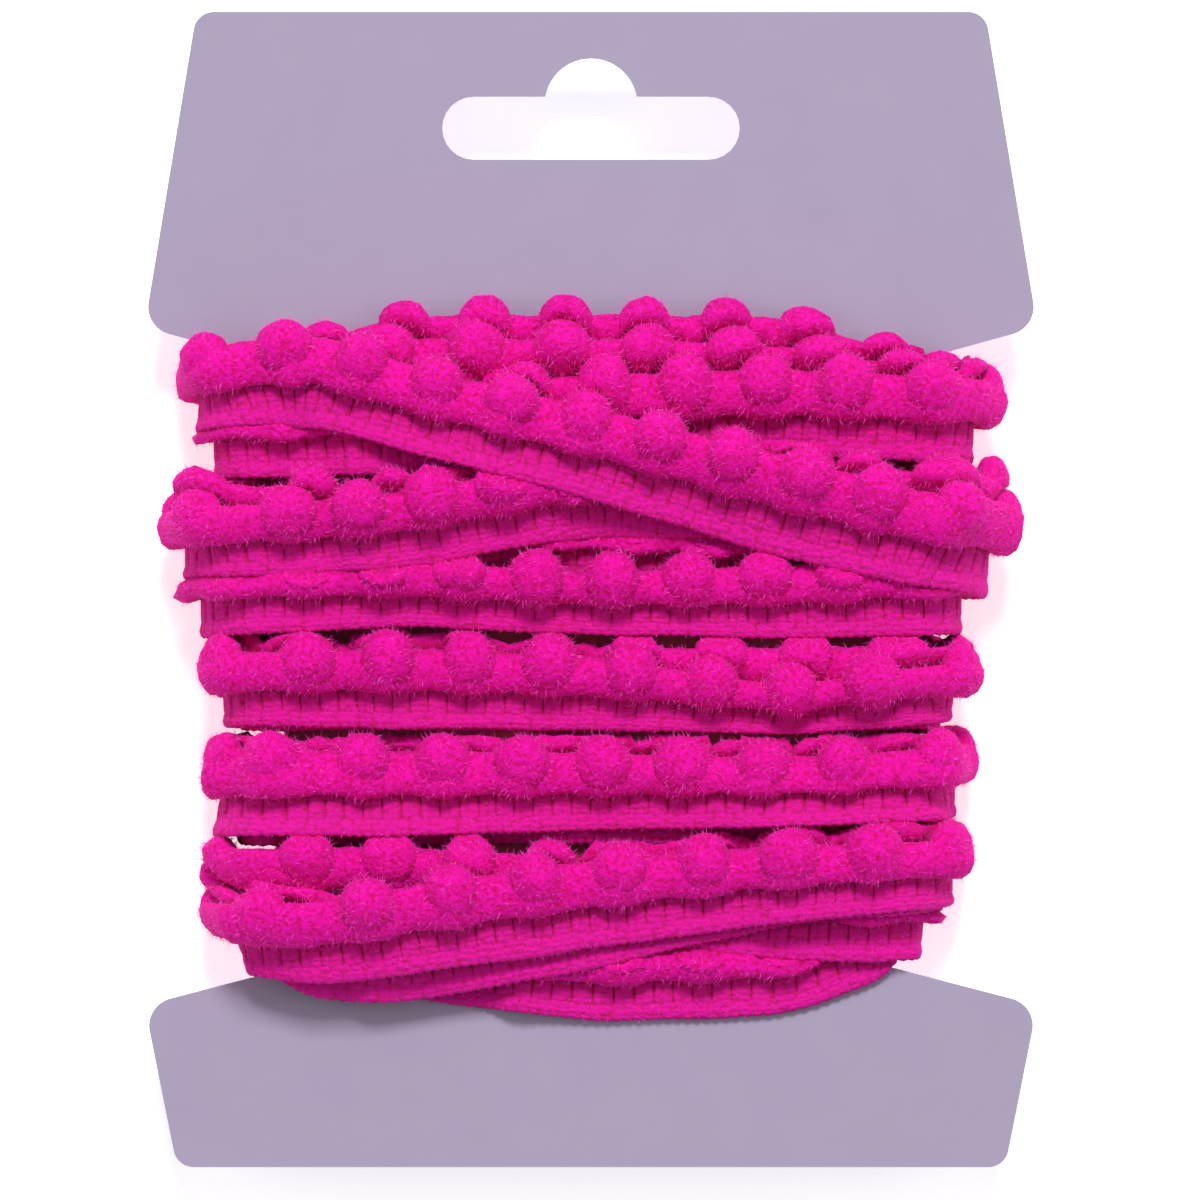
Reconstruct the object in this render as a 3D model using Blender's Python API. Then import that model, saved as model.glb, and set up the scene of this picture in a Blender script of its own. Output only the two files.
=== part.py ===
"""Pompom fringe trim wound on a flat hang card.

One continuous length of trim goes fifteen times round the waist of a die-cut card. The trim is a
knitted tape with a band of cut pile along its upper edge, and the pile swells into a row of pompoms.
The card lies on its back: X is its width, Y points to the hang slot and Z is up, out of its face.

Sizes are in millimetres, and MM turns them to metres where a mesh is made.
"""

import math
from collections import namedtuple

import bmesh
import bpy
import numpy as np

MM = 0.001

# The card, a flat board with a waist for the trim between its header and its foot.
CARD_THICK = 0.9
HALF_LENGTH = 62.1
HEADER_TOP_HALF = 42.4
WING_HALF = 48.0
HEADER_WING_Y = 28.2
FOOT_WING_Y = -44.7
FOOT_BOTTOM_HALF = 44.5
WAIST_TOP = (35.6, 24.8)
WAIST_BOTTOM = (31.4, -40.4)
TOP_RADIUS = 2.2
WING_RADIUS = 3.0
WAIST_RADIUS = 0.8
ARC_STEPS = 5

# The hang slot: a long slot with a round hump in the middle of its upper side.
SLOT_HALF_WIDTH = 16.0
SLOT_HEIGHT = 6.8
SLOT_MIDDLE_Y = 49.6
HUMP_RADIUS = 5.0
HUMP_MIDDLE_Y = 52.1
SLOT_END_STEPS = 8
HUMP_STEPS = 10

# The trim's section. Distances across it are measured from the tape's lower edge.
TAPE_WIDTH = 5.2
TAPE_THICK = 0.6
DRAWN_IN = 0.03  # how much smaller the tape is all round in a valley than at a pompom
ROW = 7.9  # the line through the middles of the pompoms
TIP = 10.6  # the pompoms' outermost points
PITCH = 8.4  # from pompom to pompom
SHOULDER = 0.2  # a pompom is full size this share of the pitch to each side of its middle

# The five corners of the pile's section, in a valley and at a pompom. Each is its place across the
# trim, and its height over the trim's underside where a turn presses on it and where it is free.
Corner = namedtuple("Corner", "across pressed free")
VALLEY = (
    Corner(5.5, 0.0, 0.0),
    Corner(8.4, 0.0, 0.2),
    Corner(8.9, 0.4, 1.3),
    Corner(7.8, 0.7, 2.6),
    Corner(5.6, 0.7, 2.0),
)
POMPOM = (
    Corner(5.5, 0.0, 0.0),
    Corner(9.5, 0.0, 0.4),
    Corner(10.6, 0.4, 2.7),
    Corner(8.5, 0.8, 5.3),
    Corner(5.8, 0.8, 4.2),
)

# The loop that the trim follows: across the front, round the right edge, back across and round the
# left edge. FLAT and BEND are the lengths that a place along the loop is counted in.
FLAT = 69.0
BEND = 13.0
LOOP = 2 * (FLAT + BEND)
REACH = 46.8  # no pompom stands further out than this to either side
CLEAR = 0.3  # between pieces that touch

# How far the innermost turn stands off the card's left and right cut edges, at these heights up
# the card: it is wound more tightly near the foot.
BULGE_MARKS = (-45.0, -35.0, -25.0, -15.0, -5.0, 5.0, 15.0, 25.0)
BULGE_LEFT = (0.2, 0.2, 4.0, 3.2, 3.4, 2.6, 2.0, 0.8)
BULGE_RIGHT = (0.0, 0.0, 0.2, 2.4, 3.4, 3.0, 1.0, 0.6)

# The turns in the order in which they are wound. row is the height up the card of the pompoms'
# line and hem that of the tape's lower edge, each at the left edge, at the five marks across the
# front and at the right edge. first and last are the places across the front of two pompoms, and
# count is how many there are from one to the other.
MARKS = (-31.0, -21.0, 0.0, 21.0, 31.0)
Turn = namedtuple("Turn", "row hem first last count")
TURNS = (
    Turn(
        (22.4, 25.3, 28.4, 28.6, 28.4, 25.0, 21.8),
        (14.2, 17.1, 20.2, 20.4, 20.2, 16.9, 13.8),
        -28.6,
        31.7,
        8,
    ),
    Turn(
        (21.8, 23.8, 26.0, 26.0, 25.2, 23.5, 21.9),
        (14.2, 16.0, 17.8, 17.8, 17.0, 15.6, 14.2),
        -21.6,
        24.6,
        6,
    ),
    Turn(
        (19.8, 20.2, 20.7, 22.0, 22.7, 22.1, 21.6),
        (11.7, 12.0, 12.4, 13.4, 14.2, 13.9, 13.6),
        -7.1,
        27.3,
        5,
    ),
    Turn(
        (10.0, 10.2, 10.4, 8.0, 7.4, 7.2, 7.0),
        (1.8, 2.0, 2.2, -0.2, -0.8, -1.0, -1.2),
        -29.6,
        30.4,
        8,
    ),
    Turn(
        (-7.0, -7.0, -7.0, -7.2, -7.2, -7.1, -7.0),
        (-15.1, -15.1, -15.1, -15.2, -15.2, -15.1, -15.0),
        -31.8,
        32.2,
        8,
    ),
    Turn(
        (-19.2, -19.2, -19.2, -19.1, -19.0, -18.9, -18.8),
        (-27.4, -27.4, -27.4, -27.3, -27.2, -27.1, -27.0),
        -29.1,
        32.6,
        8,
    ),
    Turn(
        (-32.0, -34.0, -35.8, -38.7, -38.0, -34.2, -32.0),
        (-39.9, -41.8, -43.6, -46.4, -45.7, -42.0, -39.3),
        -32.4,
        29.6,
        8,
    ),
    Turn(
        (-28.7, -28.6, -28.5, -29.8, -31.8, -32.0, -31.7),
        (-36.4, -36.4, -36.4, -37.6, -39.7, -40.1, -39.5),
        -30.2,
        30.0,
        8,
    ),
    Turn(
        (-31.2, -35.6, -36.3, -32.3, -27.8, -27.0, -26.2),
        (-39.6, -43.7, -44.5, -40.7, -35.8, -35.0, -34.2),
        -31.3,
        31.1,
        8,
    ),
    Turn(
        (-34.4, -34.7, -32.9, -29.9, -28.3, -27.9, -27.6),
        (-40.2, -42.7, -41.4, -38.4, -35.6, -34.7, -33.8),
        -33.2,
        30.2,
        8,
    ),
    Turn(
        (-18.0, -18.1, -18.2, -18.4, -18.8, -18.2, -17.6),
        (-26.3, -26.3, -26.4, -25.8, -25.4, -25.0, -24.6),
        -33.1,
        35.6,
        9,
    ),
    Turn(
        (-7.6, -7.4, -7.1, -7.9, -11.0, -9.5, -8.1),
        (-14.6, -14.7, -14.9, -15.1, -15.6, -14.9, -14.2),
        -30.4,
        30.3,
        8,
    ),
    Turn(
        (3.0, 2.7, 2.3, 1.1, 1.8, 2.6, 3.4),
        (-5.0, -4.5, -3.9, -4.8, -5.2, -5.0, -4.8),
        -30.4,
        35.0,
        9,
    ),
    Turn(
        (7.9, 8.6, 9.4, 13.4, 12.8, 12.0, 11.2),
        (1.2, 1.7, 2.2, 5.7, 5.3, 4.3, 3.4),
        -32.7,
        28.9,
        9,
    ),
    Turn(
        (24.2, 27.0, 23.4, 18.4, 13.1, 10.5, 8.0),
        (16.9, 17.6, 15.1, 9.8, 3.3, 1.1, -1.0),
        -32.3,
        31.3,
        9,
    ),
)
START_TAIL = 22.0  # the trim's first end lies on the back, under everything
END_TAIL = 30.0  # and its last end on the back too, on top, running a little downwards
END_DROP = 1.0

# How the turns are laid. Heights are kept on a grid over the unrolled loop, and each turn's
# underside and top are read on a lattice that is finer than the grid.
CELL = 0.3
BOTTOM_Y = -50.0
TOP_Y = 34.0
LATTICE_ACROSS = 41
LATTICE_ALONG = 8
LINE_STEP = 0.5
SLOPE_STEP = 1.0
LAY_GAP = CLEAR + 0.1  # straight facets cut a little into a bend
SMOOTHING = 3.0  # how far the drawn lines of a turn are rounded
STEEPEST = 0.42  # the most that the trim leans across its width, rise over run
LEANS = 29
LEAN_WEIGHT = 5.4  # the place across the trim whose height is kept low
LEAN_COST = 0.4  # what a lean costs beside that height
SETTLE_STEPS = 6
BATCH = 18  # stations laid at a time
AHEAD = 12  # and how many more are looked at before and after them
FLAT_BACK = 0.99  # of the cosine of the angle to straight down
FLATTENED = 0.2  # what the resting pile stands proud of the highest turn on the back
NOTHING_ABOVE = 1000.0
LEVEL_ENOUGH = 0.05

CARD_COLOUR = (0.43, 0.37, 0.55, 1.0)
TAPE_COLOUR = (0.86, 0.004, 0.20, 1.0)
PILE_COLOUR = (0.95, 0.005, 0.26, 1.0)


def new_collection(name):
    made = bpy.data.collections.new(name)
    bpy.context.scene.collection.children.link(made)
    return made


def new_material(name, colour, roughness):
    made = bpy.data.materials.new(name)
    made.use_nodes = True
    shader = made.node_tree.nodes["Principled BSDF"]
    shader.inputs["Base Color"].default_value = colour
    shader.inputs["Roughness"].default_value = roughness
    shader.inputs["Metallic"].default_value = 0.0
    return made


# The card


def rounded(corners, radii, steps):
    """The outline through these corners, each rounded to its radius by a short arc."""
    outline = []
    for i, corner in enumerate(corners):
        here = np.array(corner)
        to_last = np.array(corners[i - 1]) - here
        to_next = np.array(corners[(i + 1) % len(corners)]) - here
        to_last /= np.linalg.norm(to_last)
        to_next /= np.linalg.norm(to_next)
        half = math.acos(np.clip(to_last @ to_next, -1, 1)) / 2
        middle = to_last + to_next
        centre = here + middle / np.linalg.norm(middle) * radii[i] / math.sin(half)
        begin = here + to_last * radii[i] / math.tan(half) - centre
        end = here + to_next * radii[i] / math.tan(half) - centre
        for step in range(steps + 1):
            share = step / steps
            spoke = begin * (1 - share) + end * share
            outline.append(centre + spoke / np.linalg.norm(spoke) * radii[i])
    return outline


def card_outline():
    right = [
        (FOOT_BOTTOM_HALF, -HALF_LENGTH),
        (WING_HALF, FOOT_WING_Y),
        WAIST_BOTTOM,
        WAIST_TOP,
        (WING_HALF, HEADER_WING_Y),
        (HEADER_TOP_HALF, HALF_LENGTH),
    ]
    radii = [TOP_RADIUS, WING_RADIUS, WAIST_RADIUS, WAIST_RADIUS, WING_RADIUS, TOP_RADIUS]
    left = [(-x, y) for x, y in reversed(right)]
    return rounded(right + left, radii + radii[::-1], ARC_STEPS)


def slot_outline():
    """Round both ends of the slot, and over the hump between them."""
    end_radius = SLOT_HEIGHT / 2
    end_x = SLOT_HALF_WIDTH - end_radius
    outline = []
    for step in range(SLOT_END_STEPS + 1):
        angle = math.pi * (step / SLOT_END_STEPS - 0.5)
        spot = (end_x + end_radius * math.cos(angle), SLOT_MIDDLE_Y + end_radius * math.sin(angle))
        outline.append(spot)
    foot_angle = math.asin((SLOT_MIDDLE_Y + end_radius - HUMP_MIDDLE_Y) / HUMP_RADIUS)
    for step in range(HUMP_STEPS + 1):
        angle = foot_angle + (math.pi - 2 * foot_angle) * step / HUMP_STEPS
        spot = (HUMP_RADIUS * math.cos(angle), HUMP_MIDDLE_Y + HUMP_RADIUS * math.sin(angle))
        outline.append(spot)
    for step in range(SLOT_END_STEPS + 1):
        angle = math.pi * (step / SLOT_END_STEPS + 0.5)
        spot = (-end_x + end_radius * math.cos(angle), SLOT_MIDDLE_Y + end_radius * math.sin(angle))
        outline.append(spot)
    return outline


def make_card(middle_z):
    curve = bpy.data.curves.new("card", "CURVE")
    curve.dimensions = "2D"
    curve.fill_mode = "BOTH"
    curve.extrude = CARD_THICK / 2 * MM
    for outline in (card_outline(), slot_outline()):
        spline = curve.splines.new("POLY")
        spline.points.add(len(outline) - 1)
        spline.use_cyclic_u = True
        for point, (x, y) in zip(spline.points, outline):
            point.co = (x * MM, y * MM, 0.0, 1.0)
    card = bpy.data.objects.new("card", curve)
    card.location.z = middle_z * MM
    return card


# The way round the card


def waist_at(y):
    """Half the card's width at this height of its waist."""
    (top_half, top), (bottom_half, bottom) = WAIST_TOP, WAIST_BOTTOM
    return bottom_half + (top_half - bottom_half) * (y - bottom) / (top - bottom)


def loop_to_space(s, y, height):
    """The place s along the loop, y up the card and height out from it, as x, y and z. Z is
    counted from the middle of the card's thickness."""
    s, y, height = np.broadcast_arrays(s, y, height)
    along = s % LOOP
    half = waist_at(y)
    out = CARD_THICK / 2 + CLEAR + height
    front, right, back = FLAT, FLAT + BEND, 2 * FLAT + BEND
    parts = [along < front, along < right, along < back]
    right_turn = np.pi * (along - front) / BEND
    left_turn = np.pi * (along - back) / BEND
    x = np.select(
        parts,
        [
            half * (2 * along / FLAT - 1),
            half + out * np.sin(right_turn),
            half * (1 - 2 * (along - right) / FLAT),
        ],
        -half - out * np.sin(left_turn),
    )
    z = np.select(parts, [out, out * np.cos(right_turn), -out], -out * np.cos(left_turn))
    return np.stack([x, y, z], -1)


def front_place(turn_number, x, y):
    """How far along the trim it crosses x on the front, in this turn."""
    return turn_number * LOOP + FLAT / 2 * (1 + x / waist_at(y))


def drawn_line(column):
    """The named column's values as a rounded line, read at any place along the trim."""
    places, heights = [-START_TAIL - BEND], [getattr(TURNS[0], column)[0]]
    for number, turn in enumerate(TURNS):
        values = getattr(turn, column)
        start = number * LOOP
        places.append(start - BEND / 2)
        places += [front_place(number, x, y) for x, y in zip(MARKS, values[1:-1])]
        places.append(start + FLAT + BEND / 2)
        heights += values
    places.append(places[-1] + END_TAIL + BEND)
    heights.append(heights[-1] - END_DROP)
    fine = np.arange(places[0], places[-1], LINE_STEP)
    reach = np.arange(-3 * SMOOTHING, 3 * SMOOTHING + LINE_STEP / 2, LINE_STEP)
    weights = np.exp(-0.5 * (reach / SMOOTHING) ** 2)
    padded = np.pad(np.interp(fine, places, heights), len(reach) // 2, mode="edge")
    smooth = np.convolve(padded, weights / weights.sum(), mode="valid")
    return lambda s: np.interp(s, fine, smooth)


def pompom_places(height_at):
    """How far along the trim each pompom is. Those between the named ones of two turns are
    spread evenly over the trim's true length there, which grows at the bends with its height."""
    end = (len(TURNS) - 1) * LOOP + FLAT + BEND / 2 + END_TAIL
    fine = np.arange(-START_TAIL - BEND, end, LINE_STEP)
    along = fine % LOOP
    bent = (along > FLAT) & (along < FLAT + BEND) | (along > 2 * FLAT + BEND)
    growth = np.pi * (CARD_THICK / 2 + CLEAR + height_at(fine)) / BEND
    length = np.cumsum(np.where(bent, np.maximum(growth, 1), 1)) * LINE_STEP
    named = []
    for number, turn in enumerate(TURNS):
        y = turn.row[3]
        first, last = front_place(number, turn.first, y), front_place(number, turn.last, y)
        named.append(np.linspace(first, last, turn.count))
    places = list(np.arange(named[0][0] - PITCH, -START_TAIL, -PITCH)[::-1])
    for number, group in enumerate(named):
        if number:
            near, far = np.interp([places[-1], group[0]], fine, length)
            between = round((far - near) / PITCH)
            spread = np.linspace(near, far, between + 1)[1:-1]
            places += list(np.interp(spread, length, fine))
        places += list(group)
    near = np.interp(places[-1], fine, length)
    tail = np.arange(near + PITCH, length[-1], PITCH)
    return np.array(places + list(np.interp(tail, length, fine)))


# The trim's stations: three to a pompom, at its two shoulders and in the valley after it.


class Trim:
    """The trim's stations and its section at each of them, for a trim that lies this high."""

    def __init__(self, height_at):
        pompoms = pompom_places(height_at)
        steps = np.diff(pompoms)
        steps = np.append(steps, steps[-1])
        shares = np.array([-SHOULDER, SHOULDER, 0.5])
        self.s = (pompoms[:, None] + shares * steps[:, None]).ravel()
        self.swell = np.tile([1.0, 1.0, 0.0], len(pompoms))
        row, hem = drawn_line("row"), drawn_line("hem")
        self.row = row(self.s)
        rise = row(self.s + SLOPE_STEP) - row(self.s - SLOPE_STEP)
        self.tilt = np.arctan(rise / (2 * SLOPE_STEP))
        self.width = (self.row - hem(self.s)) * np.cos(self.tilt)
        self.pile = {name: self.blend(name) for name in ("across", "pressed", "free")}
        self.lattice()

    def blend(self, name):
        """One column of the pile's corners at every station."""
        low = np.array([getattr(c, name) for c in VALLEY])
        high = np.array([getattr(c, name) for c in POMPOM])
        return low + (high - low) * self.swell[:, None]

    def spot(self, station, across):
        """Where a place across the trim lies at a station, as s along the loop and y."""
        shift = (across / ROW - 1) * self.width[station]
        return (
            self.s[station] - shift * np.sin(self.tilt[station]),
            self.row[station] + shift * np.cos(self.tilt[station]),
        )

    def lattice(self):
        """Fine sample points between every two stations, with the pressed section over them."""
        self.across = np.linspace(0, TIP, LATTICE_ACROSS)
        self.between = np.linspace(0, 1, LATTICE_ALONG)
        ends = [self.spot(i, self.across) for i in range(len(self.s))]
        self.grid_s = self.spread(np.array([e[0] for e in ends]))
        self.grid_y = self.spread(np.array([e[1] for e in ends]))
        self.under = self.profile(0.0, [0, 1, 2])
        self.over = self.profile(TAPE_THICK, [4, 3, 2])

    def profile(self, tape, corners):
        """Heights of one side of the pressed section over its underside, at the lattice's places
        across, for each station. The side runs over the tape and through these corners."""
        across, heights = self.pile["across"][:, corners], self.pile["pressed"][:, corners]
        found = np.empty((len(self.s), len(self.across)))
        for i in range(len(self.s)):
            places = np.append([0.0, TAPE_WIDTH + CLEAR], across[i])
            found[i] = np.interp(self.across, places, np.append([tape, tape], heights[i]))
        return found

    def spread(self, values):
        """Values at stations, read at the lattice's steps between each two."""
        share = self.between[None, :, None]
        return values[:-1, None] * (1 - share) + values[1:, None] * share

    def cells(self, i0, i1):
        """The height grid's cells under the lattice from station i0 to i1."""
        cs = np.floor(self.grid_s[i0:i1] % LOOP / CELL).astype(int)
        cy = np.floor((self.grid_y[i0:i1] - BOTTOM_Y) / CELL).astype(int)
        return cs, cy


def widened(grid, choose):
    """The grid with each cell taking the highest or lowest of itself and its eight neighbours."""
    wide = choose.reduce([np.roll(grid, step, 0) for step in (-1, 0, 1)])
    return choose.reduce([np.roll(wide, step, 1) for step in (-1, 0, 1)])


def settled(wanted, fixed):
    """Heights that are nowhere under the wanted ones, pulled taut between them."""
    heights = wanted.copy()
    for _ in range(SETTLE_STEPS):
        padded = np.pad(heights, 1, mode="edge")
        taut = (padded[:-2] + 2 * heights + padded[2:]) / 4
        heights[fixed:] = np.maximum(wanted, taut)[fixed:]
    return heights


def lay_turns(trim):
    """Lays the trim along its whole length on the card and on what is laid already. Returns the
    height of its underside at the tape's lower edge, and its lean, at each station."""
    cells_s, cells_y = round(LOOP / CELL), round((TOP_Y - BOTTOM_Y) / CELL)
    along = (np.arange(cells_s) + 0.5) * CELL
    up = BOTTOM_Y + (np.arange(cells_y) + 0.5) * CELL
    ground = np.full((cells_s, cells_y), -LAY_GAP)
    for begin, bulge in ((FLAT, BULGE_RIGHT), (2 * FLAT + BEND, BULGE_LEFT)):
        turned = np.sin(np.pi * np.clip((along - begin) / BEND, 0, 1))
        ground += turned[:, None] * np.interp(up, BULGE_MARKS, bulge)
    count = len(trim.s)
    base, lean = np.zeros(count), np.zeros(count)
    leans = np.linspace(-STEEPEST, STEEPEST, LEANS)
    for start in range(0, count, BATCH):
        stop = min(start + BATCH, count)
        ahead = min(stop + AHEAD, count)
        known = max(start - AHEAD, 0)
        i0, i1 = max(known - 1, 0), min(ahead + 1, count)
        high = widened(ground, np.maximum)
        cs, cy = trim.cells(i0, i1)
        share = trim.between[None, :, None]
        under = trim.under[i0:i1]
        last = len(cs)
        under = under[:last, None] * (1 - share) + trim.under[i0 + 1 : i0 + 1 + last, None] * share
        need = (high[cs, cy] + LAY_GAP - under).max(1)
        padded = np.concatenate([need[:1], need, need[-1:]])
        at_station = np.maximum(padded[:-1], padded[1:])[known - i0 :][: ahead - known]
        lift = (at_station[:, :, None] - trim.across[None, :, None] * leans).max(1)
        cost = lift + leans * LEAN_WEIGHT + LEAN_COST * np.abs(leans)
        chosen = leans[cost.argmin(1)]
        fixed = start - known
        chosen[:fixed] = lean[known:start]
        for _ in range(SETTLE_STEPS):
            ends = np.pad(chosen, 1, mode="edge")
            chosen[fixed:] = ((ends[:-2] + 2 * chosen + ends[2:]) / 4)[fixed:]
        wanted = (at_station - trim.across * chosen[:, None]).max(1)
        wanted[:fixed] = base[known:start]
        found = settled(wanted, fixed)
        base[start:stop] = found[fixed:][: stop - start]
        lean[start:stop] = chosen[fixed:][: stop - start]
        first = max(start - 1, 0)
        top = base[:, None] + lean[:, None] * trim.across + trim.over
        top = trim.spread(top[first:stop])
        cs, cy = trim.cells(first, stop - 1)
        np.maximum.at(ground, (cs, cy), top)
    return base, lean


def spring_up(trim, base, lean):
    """Lets the pile stand as high as what lies over it allows, and on the back as high as the
    surface that the whole thing rests on. Returns the corners' heights and that surface's."""
    cells_s, cells_y = round(LOOP / CELL), round((TOP_Y - BOTTOM_Y) / CELL)
    along = (np.arange(cells_s) + 0.5) * CELL
    skin = CARD_THICK / 2 + CLEAR
    turned = np.clip((along - FLAT) / BEND, 0, 1) - np.clip((along - 2 * FLAT - BEND) / BEND, 0, 1)
    facing = -np.cos(np.pi * turned)
    sideways = np.maximum(np.sin(np.pi * turned), LEVEL_ENOUGH)[:, None]
    middles = base[:, None] + lean[:, None] * trim.across
    on_back = facing[np.floor(trim.s % LOOP / CELL).astype(int)] > FLAT_BACK
    level = (middles + trim.over)[on_back].max() + FLATTENED
    down = np.maximum(facing, LEVEL_ENOUGH)
    limit = np.where(facing > LEVEL_ENOUGH, (skin + level) / down - skin, NOTHING_ABOVE)[:, None]
    spare = REACH - waist_at(BOTTOM_Y + (np.arange(cells_y) + 0.5) * CELL)
    ceiling = np.minimum(limit, spare / sideways - skin) + LAY_GAP
    corner_base = base[:, None] + lean[:, None] * trim.pile["across"]
    low = corner_base + trim.pile["pressed"]
    high = corner_base + trim.pile["free"]
    heights = high.copy()
    count = len(trim.s)
    corners = len(POMPOM)
    for stop in range(count, 0, -BATCH):
        start = max(stop - BATCH, 0)
        i0, i1 = max(start - 1, 0), min(stop, count - 1)
        low_ceiling = widened(ceiling, np.minimum)
        cs, cy = trim.cells(i0, i1)
        free = (low_ceiling[cs, cy] - LAY_GAP).min(1)
        padded = np.concatenate([free[:1], free, free[-1:]])
        at_station = np.minimum(padded[:-1], padded[1:])[start - i0 :][: stop - start]
        for corner in range(corners):
            sides = [corner - 1, corner, (corner + 1) % corners]
            across = trim.pile["across"][start:stop, sides]
            left = across.min(1)[:, None] - CELL
            right = across.max(1)[:, None] + CELL
            inside = (trim.across >= left) & (trim.across <= right)
            room = np.where(inside, at_station, NOTHING_ABOVE).min(1)
            heights[start:stop, corner] = np.clip(
                room, low[start:stop, corner], high[start:stop, corner]
            )
        bottom = middles + trim.under
        last = min(stop + 1, count)
        np.minimum.at(ceiling, trim.cells(start, last - 1), trim.spread(bottom[start:last]))
    return heights, level


def loft(name, rings):
    """A closed body through these rings, which have the same number of points each."""
    mesh = bpy.data.meshes.new(name)
    bm = bmesh.new()
    rows = [[bm.verts.new(point * MM) for point in ring] for ring in rings]
    sides = len(rows[0])
    for near, far in zip(rows, rows[1:]):
        for i in range(sides):
            j = (i + 1) % sides
            bm.faces.new((near[i], near[j], far[j], far[i]))
    bm.faces.new(rows[0][::-1])
    bm.faces.new(rows[-1])
    bmesh.ops.recalc_face_normals(bm, faces=bm.faces)
    bm.to_mesh(mesh)
    bm.free()
    return bpy.data.objects.new(name, mesh)


def tape_rings(trim, base, lean):
    rings = []
    for i in range(len(trim.s)):
        ring = []
        inset = DRAWN_IN * (1 - trim.swell[i])
        for across, height in (
            (inset, inset),
            (TAPE_WIDTH - inset, inset),
            (TAPE_WIDTH - inset, TAPE_THICK - inset),
            (inset, TAPE_THICK - inset),
        ):
            s, y = trim.spot(i, across)
            ring.append(loop_to_space(s, y, base[i] + lean[i] * across + height))
        rings.append(ring)
    return rings


def pile_rings(trim, heights):
    rings = []
    for i in range(len(trim.s)):
        s, y = trim.spot(i, trim.pile["across"][i])
        underside = np.array([1.0, 1.0, 0.0, 0.0, 0.0])
        drawn_in = DRAWN_IN * (1 - trim.swell[i]) * underside
        rings.append(list(loop_to_space(s, y, heights[i] + drawn_in)))
    return rings


def make_all():
    for old in list(bpy.data.objects):
        bpy.data.objects.remove(old, do_unlink=True)
    parts = new_collection("pompom_trim_on_card")
    loose = Trim(np.zeros_like)
    first_laid = lay_turns(loose)[0]
    trim = Trim(lambda s: np.interp(s, loose.s, first_laid))
    base, lean = lay_turns(trim)
    heights, level = spring_up(trim, base, lean)
    middle_z = level + CARD_THICK / 2 + CLEAR
    made = (
        (make_card(middle_z), new_material("coated_board", CARD_COLOUR, 0.45)),
        (loft("tape", tape_rings(trim, base, lean)), new_material("knit", TAPE_COLOUR, 0.85)),
        (loft("pompoms", pile_rings(trim, heights)), new_material("pile", PILE_COLOUR, 0.95)),
    )
    for piece, material in made:
        piece.data.materials.append(material)
        piece.location.z = middle_z * MM
        parts.objects.link(piece)


make_all()
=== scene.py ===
"""Pompom fringe trim wound on a hang card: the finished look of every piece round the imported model.

The trim is knitted flat, as a long tape with a band of cut pile on it, and is then wound along the
way that the model's own strip takes round the card. The card lies on its back, X across it, Y up to
its hang slot and Z out of its face. The stage's lengths are in metres. All other named lengths are in
millimetres, and MM turns them to metres.
"""

import math
from itertools import permutations

import bmesh
import bpy
import numpy as np
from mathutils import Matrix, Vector, noise
from mathutils.bvhtree import BVHTree


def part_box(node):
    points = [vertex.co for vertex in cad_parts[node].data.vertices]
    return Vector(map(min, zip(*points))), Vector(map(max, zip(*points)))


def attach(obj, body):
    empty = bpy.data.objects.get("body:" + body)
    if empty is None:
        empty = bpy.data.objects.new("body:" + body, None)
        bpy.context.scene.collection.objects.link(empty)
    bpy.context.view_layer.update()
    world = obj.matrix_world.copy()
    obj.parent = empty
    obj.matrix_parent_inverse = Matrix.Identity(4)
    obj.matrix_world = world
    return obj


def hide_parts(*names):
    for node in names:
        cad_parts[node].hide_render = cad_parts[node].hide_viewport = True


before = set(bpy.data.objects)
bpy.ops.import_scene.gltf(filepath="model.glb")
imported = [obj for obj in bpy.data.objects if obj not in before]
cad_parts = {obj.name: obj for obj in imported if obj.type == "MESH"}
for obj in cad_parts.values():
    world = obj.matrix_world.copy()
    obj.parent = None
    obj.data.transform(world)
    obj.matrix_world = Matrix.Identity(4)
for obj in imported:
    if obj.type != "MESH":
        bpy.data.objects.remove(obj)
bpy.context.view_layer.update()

MM = 0.001


# The stage. A plain table top of white acrylic, softly lit from inside so that shadows on it stay
# pale, and a camera straight above it as far away as a long lens stands, so that the card is seen
# square on. A large softbox hangs beyond the head of the card, with a weaker one to each side.

VIEW_WIDTH = 129.0 * MM
VIEW_CENTRE = (0.97 * MM, -1.13 * MM)
VIEW_DISTANCE = 1.5
SENSOR = 36.0
TABLE_SIZE = 3.0
TABLE_GLOW = 0.5
STUDIO_LIGHT = 0.34


def linear(hex_colour):
    """An sRGB hex colour as linear red, green, blue and alpha."""
    parts = [int(hex_colour[i : i + 2], 16) / 255 for i in (1, 3, 5)]
    bright = [v / 12.92 if v <= 0.04045 else ((v + 0.055) / 1.055) ** 2.4 for v in parts]
    return (*bright, 1.0)


def add_node(tree, kind, settings=None, links=None):
    """A new node, with its own settings or its inputs' values set and its inputs linked."""
    node = tree.nodes.new(kind)
    for name, value in (settings or {}).items():
        if isinstance(name, int) or name in node.inputs:
            node.inputs[name].default_value = value
        else:
            setattr(node, name, value)
    for name, socket in (links or {}).items():
        tree.links.new(socket, node.inputs[name])
    return node


def new_material(name, settings):
    """A material with its Principled shader's constant values set. Returns it, its tree and shader."""
    material = bpy.data.materials.new(name)
    material.use_nodes = True
    shader = material.node_tree.nodes["Principled BSDF"]
    for socket, value in settings.items():
        shader.inputs[socket].default_value = value
    return material, material.node_tree, shader


def new_object(name, bm):
    """An object made of this bmesh, at the origin."""
    mesh = bpy.data.meshes.new(name)
    bm.to_mesh(mesh)
    bm.free()
    made = bpy.data.objects.new(name, mesh)
    bpy.context.scene.collection.objects.link(made)
    return made


card_low, card_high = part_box("card")
card_middle = (card_low.z + card_high.z) / 2

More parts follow.
